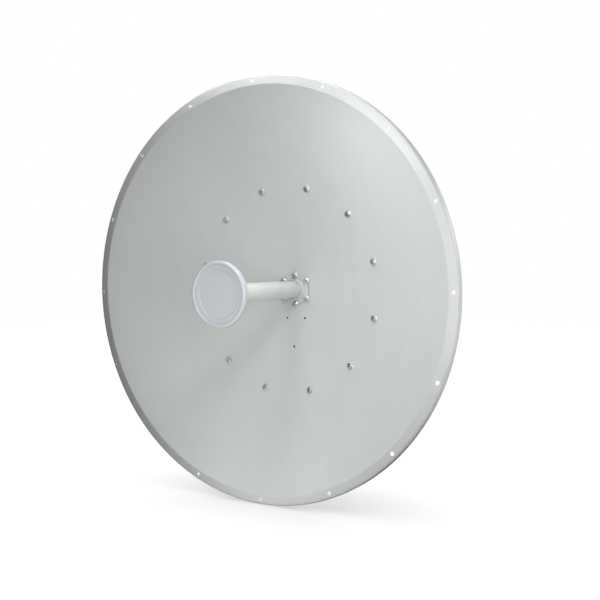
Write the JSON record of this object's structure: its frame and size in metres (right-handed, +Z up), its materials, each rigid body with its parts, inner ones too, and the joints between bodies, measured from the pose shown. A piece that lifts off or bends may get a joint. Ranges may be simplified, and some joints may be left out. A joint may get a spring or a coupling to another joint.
{
  "type": "dish antenna",
  "caption": "Pressed parabolic dish antenna with a tube feed and plastic cap at its focus, on a back frame with a tilting bracket clamped round a mast.",
  "frame": {"origin": "on the flat rear face of the pole bracket, at the height of the dish's axis and midway between its cheeks", "axes": "+Z up, -Y along the beam out of the front of the dish, +X to the right of someone facing the dish"},
  "size_m": [1.05, 0.562, 1.05],
  "materials": {
    "powder_coat": "pale grey-white powder coat, fine orange peel",
    "feed_enamel": "smooth pale grey enamel",
    "cap_plastic": "moulded pale bluish-white plastic",
    "galvanised": "galvanised, faint spangle",
    "zinc": "bright zinc plate",
    "nickel": "nickel plate",
    "dark_cast": "dark cast, blasted"
  },
  "bodies": {
    "root": {"reflector": "powder_coat", "feed_flange": "feed_enamel", "feed_collar": "feed_enamel", "feed_tube": "feed_enamel", "feed_cone": "cap_plastic", "feed_cap": "cap_plastic", "feed_backing_plate": "galvanised", "feed_housing": "dark_cast", "rf_connector_left": "nickel", "rf_connector_right": "nickel", "radio_bracket": "galvanised", "back_ring": "powder_coat", "left_rail": "powder_coat", "right_rail": "powder_coat", "upper_crossbar": "powder_coat", "lower_crossbar": "powder_coat", "left_wing": "galvanised", "right_wing": "galvanised", "left_cheek": "galvanised", "right_cheek": "galvanised", "pole_bracket": "galvanised", "upper_jaw": "galvanised", "lower_jaw": "galvanised", "upper_left_rod": "zinc", "upper_right_rod": "zinc", "lower_left_rod": "zinc", "lower_right_rod": "zinc", "elevation_rod": "zinc"}
  },
  "joints": []
}
